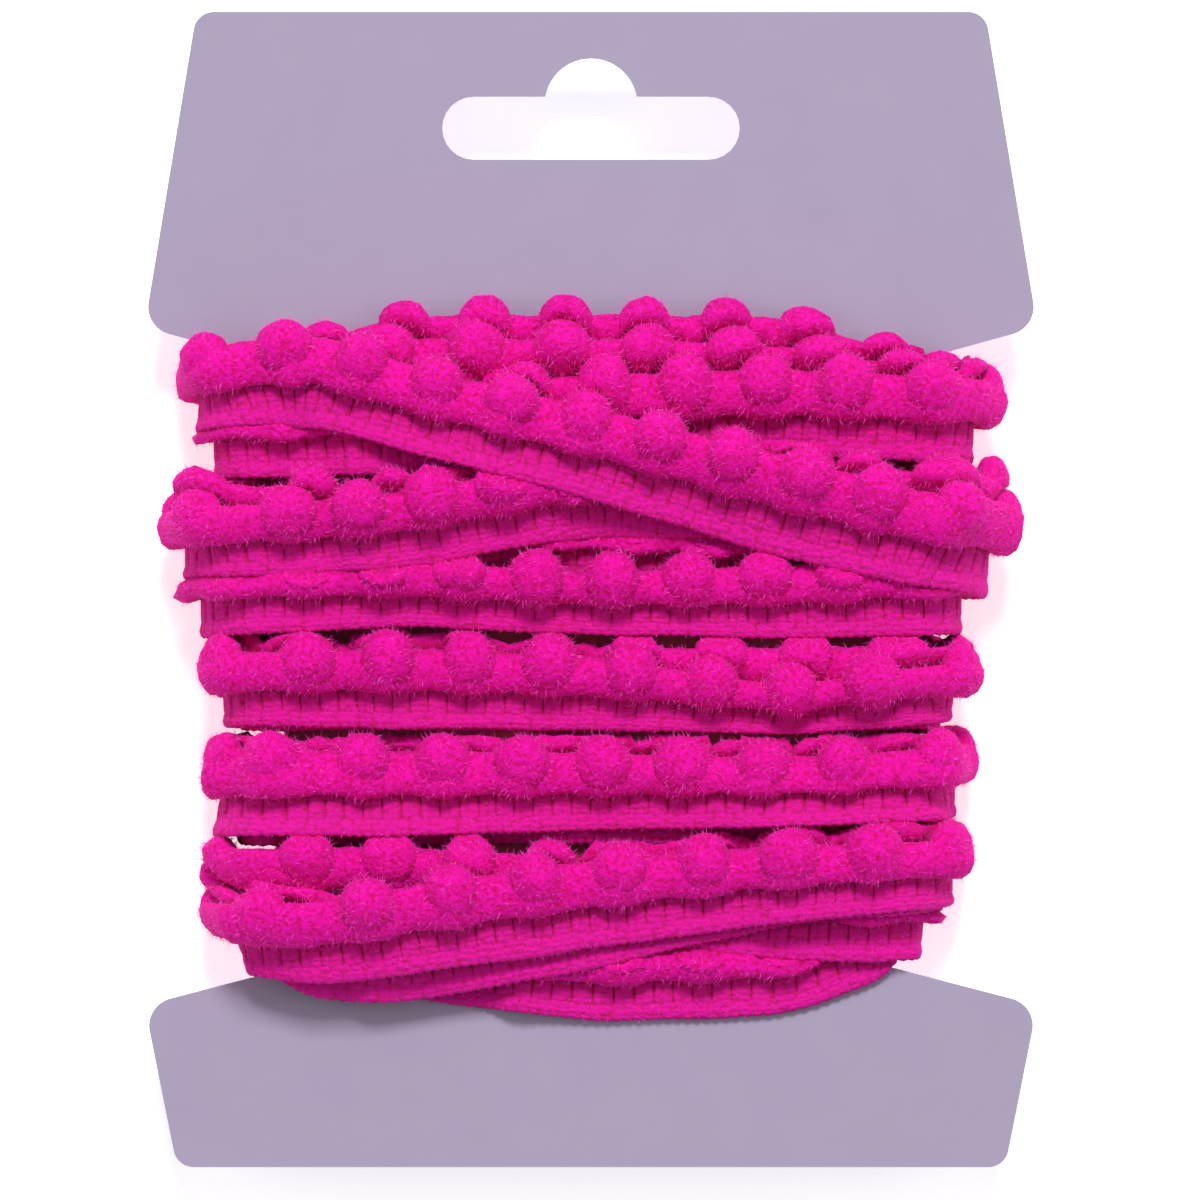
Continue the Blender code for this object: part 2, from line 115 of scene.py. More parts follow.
bm = bmesh.new()
bmesh.ops.create_grid(bm, x_segments=1, y_segments=1, size=TABLE_SIZE / 2)
table_top = new_object("table_top", bm)
acrylic, tree, shader = new_material(
    "lit_white_acrylic", {"Roughness": 0.9, "Emission Strength": TABLE_GLOW}
)
shader.inputs["Base Color"].default_value = linear("#FFFFFF")
shader.inputs["Emission Color"].default_value = linear("#FFFFFF")
table_top.data.materials.append(acrylic)

camera = bpy.data.objects.new("camera", bpy.data.cameras.new("camera"))
bpy.context.scene.collection.objects.link(camera)
camera.location = (*VIEW_CENTRE, card_high.z + VIEW_DISTANCE)
camera.data.sensor_width = SENSOR
camera.data.lens = SENSOR * VIEW_DISTANCE / VIEW_WIDTH
bpy.context.scene.camera = camera

for name, place, size, power in (
    ("head_softbox", (0.2, 2.4, 3.2), 1.0, 128.0),
    ("left_softbox", (-1.9, 0.3, 1.8), 1.2, 9.0),
    ("right_softbox", (1.9, 0.3, 1.8), 1.2, 9.0),
):
    softbox = bpy.data.objects.new(name, bpy.data.lights.new(name, "AREA"))
    bpy.context.scene.collection.objects.link(softbox)
    softbox.location = place
    softbox.rotation_euler = (-Vector(place)).to_track_quat("-Z", "Y").to_euler()
    softbox.data.size = size
    softbox.data.energy = power

studio = bpy.data.worlds.new("studio")
studio.use_nodes = True
studio.node_tree.nodes["Background"].inputs["Color"].default_value = linear("#FFFFFF")
studio.node_tree.nodes["Background"].inputs["Strength"].default_value = STUDIO_LIGHT
bpy.context.scene.world = studio
bpy.context.scene.view_settings.view_transform = "Standard"


# The card. Coated board, printed lilac all over on both faces and then die-cut, so that its cut
# edges show the pale board inside, with the coated skins a little crushed over them by the knife.

HEADER_TOP_HALF = 42.4
WING_HALF = 48.0
HEADER_WING_Y = 28.2
FOOT_WING_Y = -44.7
FOOT_BOTTOM_HALF = 44.5
WAIST_TOP = (35.6, 24.8)
WAIST_BOTTOM = (31.4, -40.4)
TOP_RADIUS = 2.2
WING_RADIUS = 3.0
WAIST_RADIUS = 0.8
SLOT_HALF_WIDTH = 16.0
SLOT_HEIGHT = 6.8
SLOT_MIDDLE_Y = 49.6
HUMP_RADIUS = 5.0
HUMP_MIDDLE_Y = 52.1
ARC_STEPS = 12
CRUSH = 0.14
SKIN = 0.17
SKIN_FADES = 0.05
PRINT_GRAIN = 6.0
PAPER_GRAIN = 0.5
SHARP_ANGLE = 12
# RED_LIGHT is the painted red light and shade on the board under the winding; the COVERED_ pairs give
# where this painting starts and where it is full.
RED_LIGHT = "#A81C50"
COVERED_X = (36.5, 34.5)  # where the winding starts to cover the board, and where it does so fully
COVERED_TOP = (26.0, 23.0)
COVERED_FOOT = (-39.5, -37.0)


def arc(centre, radius, start, end, steps=ARC_STEPS):
    """Points on an arc from one angle to another."""
    angles = [start + (end - start) * step / steps for step in range(steps + 1)]
    return [(centre[0] + radius * math.cos(a), centre[1] + radius * math.sin(a)) for a in angles]


def rounded(corners, radii):
    """The closed outline through these corners, each with its own radius."""
    outline = []
    for i, corner in enumerate(corners):
        here = Vector(corner)
        to_last = (Vector(corners[i - 1]) - here).normalized()
        to_next = (Vector(corners[(i + 1) % len(corners)]) - here).normalized()
        half = to_last.angle(to_next) / 2
        centre = here + (to_last + to_next).normalized() * radii[i] / math.sin(half)
        begin = here + to_last * radii[i] / math.tan(half) - centre
        end = here + to_next * radii[i] / math.tan(half) - centre
        start = math.atan2(begin.y, begin.x)
        turn = (math.atan2(end.y, end.x) - start + math.pi) % math.tau - math.pi
        outline += arc(centre, radii[i], start, start + turn)
    return outline


def card_outline():
    """Up the card's right side from the foot to the header, and down its left side."""
    right = [
        (FOOT_BOTTOM_HALF, card_low.y / MM),
        (WING_HALF, FOOT_WING_Y),
        WAIST_BOTTOM,
        WAIST_TOP,
        (WING_HALF, HEADER_WING_Y),
        (HEADER_TOP_HALF, card_high.y / MM),
    ]
    radii = [TOP_RADIUS, WING_RADIUS, WAIST_RADIUS, WAIST_RADIUS, WING_RADIUS, TOP_RADIUS]
    left = [(-x, y) for x, y in reversed(right)]
    return rounded(right + left, radii + radii[::-1])


def slot_outline():
    """Round the right end of the slot, over the hump and round the left end."""
    end_radius = SLOT_HEIGHT / 2
    end_x = SLOT_HALF_WIDTH - end_radius
    foot = math.asin((SLOT_MIDDLE_Y + end_radius - HUMP_MIDDLE_Y) / HUMP_RADIUS)
    quarter = math.pi / 2
    return (
        arc((end_x, SLOT_MIDDLE_Y), end_radius, -quarter, quarter)
        + arc((0, HUMP_MIDDLE_Y), HUMP_RADIUS, foot, math.pi - foot, 2 * ARC_STEPS)
        + arc((-end_x, SLOT_MIDDLE_Y), end_radius, quarter, 3 * quarter)
    )


bm = bmesh.new()
for outline in (card_outline(), slot_outline()):
    rim = [bm.verts.new((x * MM, y * MM, card_low.z)) for x, y in outline]
    for near, far in zip(rim, rim[1:] + rim[:1]):
        bm.edges.new((near, far))
bmesh.ops.triangle_fill(bm, use_beauty=True, edges=bm.edges)
grown = bmesh.ops.extrude_face_region(bm, geom=bm.faces[:])
rise = Vector((0, 0, card_high.z - card_low.z))
raised = [part for part in grown["geom"] if isinstance(part, bmesh.types.BMVert)]
bmesh.ops.translate(bm, verts=raised, vec=rise)
bmesh.ops.recalc_face_normals(bm, faces=bm.faces)
rims = [edge for edge in bm.edges if edge.calc_face_angle(0.0) > math.radians(60)]
bmesh.ops.bevel(
    bm,
    geom=rims,
    offset=CRUSH * MM,
    segments=3,
    profile=0.5,
    affect="EDGES",
    material=-1,
    clamp_overlap=True,
)
hang_card = new_object("hang_card", bm)
hang_card.data.shade_smooth()
hang_card.data.set_sharp_from_angle(angle=math.radians(SHARP_ANGLE))

# Coated board: the print's fine grain barely shows, and the coating is smooth and a little glossy.
board, tree, shader = new_material("coated_lilac_board", {"Roughness": 0.45, "Specular IOR Level": 0.35})
place = add_node(tree, "ShaderNodeTexCoord").outputs["Object"]
on_card = add_node(tree, "ShaderNodeSeparateXYZ", links={0: place})
grain = add_node(
    tree,
    "ShaderNodeTexNoise",
    {"Scale": 1 / (PRINT_GRAIN * MM), "Detail": 6.0, "Roughness": 0.6},
    {"Vector": place},
)
printed = add_node(
    tree,
    "ShaderNodeMix",
    {"data_type": "RGBA", 6: linear("#A094B0"), 7: linear("#A69AB5")},
    {0: grain.outputs["Fac"]},
)
off_middle = add_node(
    tree, "ShaderNodeMath", {"operation": "SUBTRACT", 1: card_middle}, {0: on_card.outputs["Z"]}
)
off_middle = add_node(tree, "ShaderNodeMath", {"operation": "ABSOLUTE"}, {0: off_middle.outputs[0]})
skin = add_node(
    tree,
    "ShaderNodeMapRange",
    {
        "From Min": (card_high.z - card_low.z) / 2 - SKIN * MM,
        "From Max": (card_high.z - card_low.z) / 2 - (SKIN - SKIN_FADES) * MM,
    },
    {"Value": off_middle.outputs[0]},
)
board_colour = add_node(
    tree,
    "ShaderNodeMix",
    {"data_type": "RGBA", 6: linear("#E9E4EA")},
    {0: skin.outputs[0], 7: printed.outputs[2]},
)

# Under the winding no light reaches the board but what the neon yarn round it reflects, so red reflected
# light and shade are painted into the board's colour there, in the colour RED_LIGHT.
aside = add_node(tree, "ShaderNodeMath", {"operation": "ABSOLUTE"}, {0: on_card.outputs["X"]})
shares = [
    add_node(
        tree,
        "ShaderNodeMapRange",
        {"interpolation_type": "SMOOTHSTEP", "From Min": start * MM, "From Max": full * MM},
        {"Value": way},
    )
    for (start, full), way in (
        (COVERED_X, aside.outputs[0]),
        (COVERED_TOP, on_card.outputs["Y"]),
        (COVERED_FOOT, on_card.outputs["Y"]),
    )
]
covered = shares[0]
for share in shares[1:]:
    covered = add_node(
        tree, "ShaderNodeMath", {"operation": "MULTIPLY"}, {0: covered.outputs[0], 1: share.outputs[0]}
    )
lit = add_node(
    tree,
    "ShaderNodeMix",
    {"data_type": "RGBA", 7: linear(RED_LIGHT)},
    {0: covered.outputs[0], 6: board_colour.outputs[2]},
)
tree.links.new(lit.outputs[2], shader.inputs["Base Color"])
paper = add_node(
    tree, "ShaderNodeTexNoise", {"Scale": 1 / (PAPER_GRAIN * MM), "Detail": 4.0}, {"Vector": place}
)
relief = add_node(
    tree, "ShaderNodeBump", {"Strength": 0.08, "Distance": 0.05 * MM}, {"Height": paper.outputs["Fac"]}
)
tree.links.new(relief.outputs["Normal"], shader.inputs["Normal"])
hang_card.data.materials.append(board)
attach(hang_card, "root")
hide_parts("card")


# How the trim lies in the winding. The model's tape gives the way: its corners at every station are
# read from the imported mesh, and a place on the flat trim is carried along to where it comes to lie.

WELD = 0.005 * MM
TAPE_SIDES = 4
SHOULDER = 0.2  # a pompom's two rings in the model stand this share of the pitch from its middle
TAPE_WIDTH = 5.2
ROW = 7.9  # the line through the middles of the pompoms
FINE_STEPS = 20  # between two stations, where the trim's length is measured


def far_from_card(vert):
    """How far a point lies in front of the card's middle plane or behind it."""
    return abs(vert.co.z - card_middle)


def tape_rings():
    """The tape's four corners at each of the model's stations, from its inner end to its outer:
    the hem's under and upper corner, then those beside the pile."""
    bm = bmesh.new()
    bm.from_mesh(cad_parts["tape"].data)
    bmesh.ops.remove_doubles(bm, verts=bm.verts, dist=WELD)

    def around(verts):
        return {edge.other_vert(vert) for vert in verts for edge in vert.link_edges}

    def layers_from(start):
        layers, seen = [start], set(start)
        while layers[-1]:
            layers.append(around(layers[-1]) - seen)
            seen |= layers[-1]
        return layers[:-1]

    bm.verts.ensure_lookup_table()
    one_end = layers_from({bm.verts[0]})[-1].pop()
    other_end = layers_from({one_end})[-1].pop()
    outer_end = max(one_end, other_end, key=far_from_card)

    # The first ring is the four corners nearest to this end, and each next one is joined to it.
    layers = layers_from({outer_end})[:6]
    middles = [np.mean([vert.co[:] for vert in layer], axis=0) for layer in layers]
    inward = Vector(middles[5] - middles[2])
    ring = sorted(set.union(*layers[:3]), key=lambda vert: vert.co.dot(inward))[:TAPE_SIDES]
    ring.sort(key=lambda vert: vert.co.y)
    rings = [sorted(ring[:2], key=far_from_card) + sorted(ring[2:], key=far_from_card)]
    seen = set(ring)
    while near := around(rings[-1]) - seen:
        seen |= near
        orders = permutations(sorted(near, key=lambda vert: vert.index))
        moved = {sum((a.co - b.co).length for a, b in zip(rings[-1], order)): order for order in orders}
        rings.append(moved[min(moved)])
    corners = np.array([[vert.co[:] for vert in ring] for ring in rings])
    bm.free()
    return corners[::-1]


def unit(vectors):
    """These vectors, each made one long."""
    return vectors / np.linalg.norm(vectors, axis=-1, keepdims=True)


rings = tape_rings()
hem_line = rings[:, 0]
reach = (rings[:, 2] - rings[:, 0]) / TAPE_WIDTH
outward = unit(rings[:, 1] - rings[:, 0] + rings[:, 3] - rings[:, 2])
pompom_count = len(rings) // 3
stations = (np.arange(pompom_count)[:, None] + [-SHOULDER, SHOULDER, 0.5]).ravel()


def between(values, places):
    """Values known at the model's rings, read on a smooth curve through them at other places."""
    slopes = np.gradient(values, stations, axis=0)
    i = np.clip(np.searchsorted(stations, places) - 1, 0, len(stations) - 2)
    gap = stations[i + 1] - stations[i]
    t = (places - stations[i]) / gap
    if values.ndim > 1:
        gap, t = gap[:, None], t[:, None]
    start = (2 * t**3 - 3 * t**2 + 1) * values[i] + (t**3 - 2 * t**2 + t) * gap * slopes[i]
    end = (3 * t**2 - 2 * t**3) * values[i + 1] + (t**3 - t**2) * gap * slopes[i + 1]
    return start + end


def wound(places, across, height):
    """Where points of the flat trim come to lie in the winding. places counts pompoms along it,
    one for each column; across and height are in millimetres, from the hem and the underside."""
    hem, side, out = between(hem_line, places), between(reach, places), unit(between(outward, places))
    return hem[:, None] + side[:, None] * across[..., None] + out[:, None] * height[..., None] * MM


fine = np.linspace(stations[0], stations[-1], FINE_STEPS * len(stations))
row_line = wound(fine, np.full((len(fine), 1), ROW), np.zeros((len(fine), 1)))[:, 0]
walked = np.linalg.norm(np.diff(row_line, axis=0), axis=1) / MM
length_at = np.concatenate([[0.0], np.cumsum(walked)])
full_length = length_at[-1]


def place_of(length):
    """The place, counted in pompoms, at a length in millimetres from the trim's inner end."""
    return np.interp(length, length_at, fine)


# How much room there is over each spot of the trim before the underside of a later turn, or the
# table under the back. Near a turn that presses, the room grows by a slope, as pile does.
ROOM_STEP = 0.6
ROOM_SPAN = (-0.6, 11.4)  # the places across the trim that it is worked out for
ROOM_ROUNDS = 10
RIBBON_STEP = 1.2
RIBBON_ROWS = 4
RIBBON_TIP = (8.5, 9.9)  # how far the pile presses on what is under it, in a valley and at a pompom
START_ABOVE = 0.1
LATER = 12.0  # how much further along the trim a turn must be to lie over a spot
MEETINGS = 4  # how many turns a ray may meet before it counts as free
OPEN = 30.0
GIVES_WAY = 1.7  # how steeply the pile rises beside what presses it
SKIN_GAP = 0.15
LEANS = (-1.2, -0.6, 0, 0.6, 1.2)  # ways in which light may come to a spot, as leans across the trim
REACHES = 9.0  # the free way that lets all of it in

ribbon_length = np.arange(0, full_length, RIBBON_STEP)
ribbon_places = place_of(ribbon_length)
from_pompom = np.abs(ribbon_places - np.rint(ribbon_places)) * 2
tip = RIBBON_TIP[1] + (RIBBON_TIP[0] - RIBBON_TIP[1]) * from_pompom
ribbon_across = tip[:, None] * np.linspace(0, 1, RIBBON_ROWS)
ribbon = wound(ribbon_places, ribbon_across, np.zeros_like(ribbon_across))
corner = np.arange(ribbon_across.size).reshape(-1, RIBBON_ROWS)
quads = [corner[:-1, :-1], corner[1:, :-1], corner[1:, 1:], corner[:-1, 1:]]
undersides = BVHTree.FromPolygons(
    ribbon.reshape(-1, 3).tolist(), np.stack(quads, -1).reshape(-1, 4).tolist()
)

room_length = np.arange(0, full_length, ROOM_STEP)
room_across = np.arange(*ROOM_SPAN, ROOM_STEP)
room_places = place_of(room_length)
room_shape = (len(room_length), len(room_across))
starts = wound(
    room_places, np.tile(room_across, (len(room_length), 1)), np.full(room_shape, START_ABOVE)
)
heading = unit(between(outward, room_places))


def free_way(start, direction, length):
    """How far it is from a point of the trim to the underside of a turn that is wound later."""
    gone = 0.0
    for _ in range(MEETINGS):
        hit, _, quad, distance = undersides.ray_cast(start + direction * gone, direction, OPEN * MM)
        if hit is None:
            break
        gone += distance
        if quad // (RIBBON_ROWS - 1) * RIBBON_STEP > length + LATER:
            return gone / MM
        gone += WELD
    return OPEN


crossways = unit(between(reach, room_places))
open_above = np.full(room_shape, OPEN)
light = np.zeros(room_shape)
for i, (column, out, side) in enumerate(zip(starts, heading, crossways)):
    for lean in LEANS:
        direction = Vector(out + lean * side).normalized()
        for j, start in enumerate(column):
            way = free_way(Vector(start), direction, room_length[i])
            light[i, j] += min(way / REACHES, 1.0) / len(LEANS)
            if lean == 0:
                open_above[i, j] = way + START_ABOVE
downward = np.maximum(-heading[:, None, 2], 1e-6)
room = np.minimum(open_above, starts[..., 2] / downward / MM + START_ABOVE)
for _ in range(ROOM_ROUNDS):
    for axis in (0, 1):
        for step in (-1, 1):
            beside = np.roll(room, step, axis) + GIVES_WAY * ROOM_STEP
            edge = [slice(None), slice(None)]
            edge[axis] = 0 if step == 1 else -1
            beside[tuple(edge)] = OPEN
            room = np.minimum(room, beside)


def read_grid(grid, length, across):
    """The grid's value at lengths along the trim and places across it, between its points."""
    x = np.clip(length / ROOM_STEP, 0, room_shape[0] - 1.001)
    y = np.clip((across - room_across[0]) / ROOM_STEP, 0, room_shape[1] - 1.001)
    i, j = x.astype(int), y.astype(int)
    x, y = x - i, y - j
    low = grid[i, j] * (1 - x) + grid[i + 1, j] * x
    high = grid[i, j + 1] * (1 - x) + grid[i + 1, j + 1] * x
    return low * (1 - y) + high * y


UNDERSIDE = 0.03
TABLE_GAP = 0.02
SOFTNESS = 0.3
FACE = 0.3  # points of the tape and of the pile that lie higher than this are on their upper side
SWELLING = 0.5  # and those over this take part in the pile's swelling and lumps


def pressed_to(height, limit):
    """The heights held under a limit, with the corner where they meet it rounded as pile rounds it."""
    nearer = np.minimum(height, limit)
    return nearer - SOFTNESS * np.log1p(np.exp(-np.abs(height - limit) / SOFTNESS))


def strip_object(name, points, along, across, shown):
    """A closed tube through these points, given column by column, with its flat size in its UVs."""
    columns, rows = points.shape[:2]
    bm = bmesh.new()
    bmesh.ops.create_grid(bm, x_segments=columns - 1, y_segments=rows, size=1)
    flat = np.array([vert.co[:] for vert in bm.verts])
    column = np.rint((flat[:, 0] + 1) / 2 * (columns - 1)).astype(int)
    row = np.rint((flat[:, 1] + 1) / 2 * rows).astype(int)
    layer = bm.loops.layers.uv.new("flat_trim")
    for face in bm.faces:
        for loop in face.loops:
            i, j = column[loop.vert.index], row[loop.vert.index]
            loop[layer].uv = (along[i], across[i, j % rows])
    shown_layer = bm.verts.layers.float.new("shown")
    for vert, i, j in zip(bm.verts, column, row % rows):
        vert.co = points[i, j]
        vert.co.z = max(vert.co.z, TABLE_GAP * MM)
        vert[shown_layer] = shown[i, j]
    bmesh.ops.remove_doubles(bm, verts=bm.verts, dist=1e-7)
    bmesh.ops.holes_fill(bm, edges=bm.edges, sides=rows)
    bmesh.ops.recalc_face_normals(bm, faces=bm.faces)
    made = new_object(name, bm)
    made.data.shade_smooth()
    return made


# The heading tape. Polyester knitted in one long strip: upright ribs with thin slits between them
# near the pile, courses of soft yarn across the ribs and a thicker rolled hem with small scallops.

RIB = 2.1
SCALLOP = 0.16
WANDER = 0.25  # how far the hem strays, over stretches of this length
WANDER_LENGTH = 9.0
SLIT_DEPTH = 0.30
SLIT_HALF = 0.06  # a slit's half width, as a share of a rib
HEM_BULGE = 0.12
# A point is painted the dyes' full deep red shade at or below SHOWS_FROM of room or DIM of light, and
# keeps its own pink at or above SHOWS_FULLY and BRIGHT.
SHOWS_FROM, SHOWS_FULLY = 0.3, 3.0  # millimetres of open room over a point
DIM, BRIGHT = 0.2, 0.65  # the shares of light that leave a point deep red and fully pink

# The tape's section, from the rolled hem over the face to the pile's roots and back underneath:
# the place across, the height, and how far a slit and the hem's scallops reach into each.
TAPE_SECTION = (
    # across, height, slit, scallop
    (-0.02, 0.12, 0.0, 1.0),
    (-0.08, 0.42, 0.0, 1.0),
    (0.14, 0.72, 0.0, 0.7),
    (0.62, 0.84, 0.0, 0.2),
    (1.15, 0.72, 0.0, 0.0),
    (1.60, 0.60, 0.2, 0.0),
    (2.15, 0.66, 0.8, 0.0),
    (3.20, 0.64, 1.0, 0.0),
    (4.60, 0.60, 1.0, 0.0),
    (5.40, 0.30, 0.0, 0.0),
    (5.00, 0.02, 0.0, 0.0),
)
RIB_STEPS = (0.0, 0.07, 0.25, 0.50, 0.75, 0.93)  # where its rings lie along a rib, from a slit on


def shows(length, across, height):
    """From 0 where a later turn lies close over a point or shuts its light out, to 1 where nothing does;
    the dyes' deep red painted shade follows it.
    """
    gap = read_grid(open_above, length, across) - height
    lit = (read_grid(light, length, across) - DIM) / (BRIGHT - DIM)
    return np.clip((gap - SHOWS_FROM) / (SHOWS_FULLY - SHOWS_FROM), 0, 1) * np.clip(lit, 0, 1)


ribs = int(full_length / RIB)
rib_phase = np.tile(RIB_STEPS, ribs)
tape_length = (np.arange(ribs).repeat(len(RIB_STEPS)) + rib_phase) * RIB
section = np.array(TAPE_SECTION)
across, height, slit, scallop = (section[None, :, i] for i in range(4))
in_slit = np.exp(-((np.minimum(rib_phase, 1 - rib_phase) / SLIT_HALF) ** 2))[:, None]
bulge = np.abs(np.sin(2 * np.pi * rib_phase))[:, None]  # two scallops to a rib
wander = np.array([noise.noise((length / WANDER_LENGTH, 0, 0)) for length in tape_length])[:, None]
across = across + scallop * (SCALLOP * (0.5 - bulge) + WANDER * wander)
height = height - SLIT_DEPTH * slit * in_slit + HEM_BULGE * bulge * (height > FACE)
points = wound(place_of(tape_length), across, height)
shown = shows(tape_length[:, None], across, height)
heading_tape = strip_object("heading_tape", points, tape_length, across, shown)

# Brushed polyester yarn, dyed a fluorescent pink: matt, with soft fibres that catch light at the edges
# of every stitch. Its colour is painted darker in the hollows between stitches, in the slits and toward
# the pile, as shade, and painted deep red where a later turn shuts the light out, for that shade and the
# red glow from neighbouring yarn. The stitches' courses are drawn as coarse as they show, one every 0.6
# mm.
COURSE = 0.62
STITCH = 1.05
YARN_FUZZ = 0.35
YARN_RELIEF = 0.45
# SLIT_SHADE and PILE_SHADE set painted shade: the tape's colour is painted darker in its slits and
# toward the pile's edge.
SLIT_SHADE = (0.03, 0.16)  # from a slit's middle to where its shade ends
SLITS_BEGIN = (1.7, 2.1)  # the places across the tape between which its slits set in
PILE_SHADE = (1.2, 4.2)  # and those between which it darkens toward the pile


def dye_with_painted_shade(tree, shader, covered, dark, bright, share):
    """Mixes the dye's tones by this share, and paints the deep red of shade where a later turn covers it
    and shuts its light out.
    """
    tone = add_node(
        tree,
        "ShaderNodeMix",
        {"data_type": "RGBA", "clamp_factor": True, 6: linear(dark), 7: linear(bright)},
        {0: share},
    )
    shown = add_node(tree, "ShaderNodeAttribute", {"attribute_name": "shown"}).outputs["Fac"]
    deep = add_node(
        tree,
        "ShaderNodeMix",
        {"data_type": "RGBA", "clamp_factor": True, 6: linear(covered)},
        {0: shown, 7: tone.outputs[2]},
    )
    tree.links.new(deep.outputs[2], shader.inputs["Base Color"])


yarn, tree, shader = new_material(
    "knitted_neon_yarn",
    {"Roughness": 0.85, "Specular IOR Level": 0.2, "Sheen Weight": 0.12, "Sheen Roughness": 0.5},
)
shader.inputs["Sheen Tint"].default_value = linear("#FF5CC8")
flat_place = add_node(tree, "ShaderNodeUVMap", {"uv_map": "flat_trim"}).outputs[0]
stitches = add_node(
    tree, "ShaderNodeMapping", {"Scale": (1 / STITCH, 1 / COURSE, 1.0)}, {"Vector": flat_place}
)
loops = add_node(
    tree,
    "ShaderNodeTexVoronoi",
    {
        "Scale": 1.0,
        "Randomness": 0.55,
        "feature": "SMOOTH_F1",
        "Smoothness": 0.4,
        "voronoi_dimensions": "2D",
    },
    {"Vector": stitches.outputs[0]},
)
fuzz = add_node(
    tree,
    "ShaderNodeTexNoise",
    {"Scale": 1 / YARN_FUZZ, "Detail": 5.0, "Roughness": 0.7, "noise_dimensions": "2D"},
    {"Vector": flat_place},
)
depth = add_node(
    tree,
    "ShaderNodeMath",
    {"operation": "MULTIPLY_ADD", 1: -0.8},
    {0: loops.outputs["Distance"], 2: fuzz.outputs["Fac"]},
)
# The tone is painted darker where the stitches' relief is low, as the shade between stitches, with the
# fuzz's uneven tone in it.
share = add_node(
    tree, "ShaderNodeMapRange", {"From Min": -0.25, "From Max": 0.2}, {"Value": depth.outputs[0]}
)
on_trim = add_node(tree, "ShaderNodeSeparateXYZ", links={0: flat_place})
rib_place = add_node(
    tree, "ShaderNodeMath", {"operation": "PINGPONG", 1: RIB / 2}, {0: on_trim.outputs["X"]}
)
beside_slit = add_node(
    tree,
    "ShaderNodeMapRange",
    {"From Min": SLIT_SHADE[0], "From Max": SLIT_SHADE[1], "To Min": 0.25, "To Max": 1.0},
    {"Value": rib_place.outputs[0]},
)
under_slit = add_node(
    tree,
    "ShaderNodeMapRange",
    {"From Min": SLITS_BEGIN[0], "From Max": SLITS_BEGIN[1], "To Min": 1.0, "To Max": 0.0},
    {"Value": on_trim.outputs["Y"]},
)
no_slit = add_node(
    tree,
    "ShaderNodeMath",
    {"operation": "MAXIMUM"},
    {0: beside_slit.outputs[0], 1: under_slit.outputs[0]},
)
share = add_node(
    tree, "ShaderNodeMath", {"operation": "MULTIPLY"}, {0: share.outputs[0], 1: no_slit.outputs[0]}
)
toward_pile = add_node(
    tree,
    "ShaderNodeMapRange",
    {"From Min": PILE_SHADE[0], "From Max": PILE_SHADE[1], "To Min": 1.0, "To Max": 0.75},
    {"Value": on_trim.outputs["Y"]},
)
share = add_node(
    tree, "ShaderNodeMath", {"operation": "MULTIPLY"}, {0: share.outputs[0], 1: toward_pile.outputs[0]}
)
# The first tone, #B40834, is the painted deep red shade where a later turn covers the tape.
dye_with_painted_shade(tree, shader, "#B40834", "#CC1450", "#FC14B0", share.outputs[0])
relief = add_node(
    tree, "ShaderNodeBump", {"Strength": 0.9, "Distance": YARN_RELIEF * MM}, {"Height": depth.outputs[0]}
)
tree.links.new(relief.outputs["Normal"], shader.inputs["Normal"])
heading_tape.data.materials.append(yarn)
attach(heading_tape, "root")
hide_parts("tape")


# The pile band. Polyester tufts sewn along the tape's upper part and shorn into one soft low band,
# which hides the tape's upper edge. Where a later turn lies on it, it is pressed flat.

BAND_STEP = 0.75

# The band's section, from the underside round over the tape and back: the place across the trim, and
# the height, which BAND_LOW and BAND_HIGH scale.
BAND_SECTION = (
    (5.6, 0.03),
    (4.7, 0.80),
    (4.25, 1.25),
    (4.25, 1.90),
    (4.75, 2.50),
    (5.6, 2.85),
    (6.5, 2.95),
    (7.5, 2.85),
    (8.4, 2.45),
    (8.85, 1.60),
    (8.75, 0.80),
    (8.2, 0.25),
    (7.0, 0.03),
)
BAND_MIDDLE = 6.4
BAND_SWELL = 0.5  # how much further the band reaches down over the tape at a pompom
SWELLS_FROM, SWELLS_FULLY = 5.6, 4.3
BAND_LOW, BAND_HIGH = 1.05, 1.45  # its height in a valley and round a pompom
SPREADING = slice(8, 10)  # the rows of the section at its upper edge
SPREADS = 2.4  # how far pile that is pressed flat leans out past its own edge
SPREADS_FROM, SPREADS_FULLY = 6.5, 8.4
BAND_LUMPS = 0.22
LUMP = 1.5
FINE_LUMP = LUMP / 2.3
TAPE_TOP = 0.66
ON_TAPE = 5.3  # pile below this place across the trim lies on the tape


def lump(spot):
    """How far the pile stands out or in at a spot, about one up or down, in larger and finer lumps."""
    return noise.noise(spot / (LUMP * MM)) + 0.5 * noise.noise(spot / (FINE_LUMP * MM))


band_length = np.arange(0, full_length, BAND_STEP)
band_places = place_of(band_length)
near_pompom = 0.5 + 0.5 * np.cos(band_places * math.tau)[:, None]
across, height = (np.array(BAND_SECTION)[None, :, i] for i in range(2))
hanging = np.clip((SWELLS_FROM - across) / (SWELLS_FROM - SWELLS_FULLY), 0, 1) * (height > SWELLING)
across = across - hanging * BAND_SWELL * near_pompom
height = height * (BAND_LOW + (BAND_HIGH - BAND_LOW) * near_pompom**2)
loose = wound(band_places, across, height)
bumps = np.array([[lump(Vector(spot)) for spot in column] for column in loose])
across = across + BAND_LUMPS * bumps * np.sign(across - BAND_MIDDLE)
height = height + BAND_LUMPS * bumps * (height > SWELLING)
over = read_grid(room, band_length[:, None], across) - SKIN_GAP
pressed = np.where(height > FACE, pressed_to(height, over), height)
pressed = np.maximum(
    pressed, np.where((across < ON_TAPE) & (height > SWELLING), TAPE_TOP, UNDERSIDE)
)
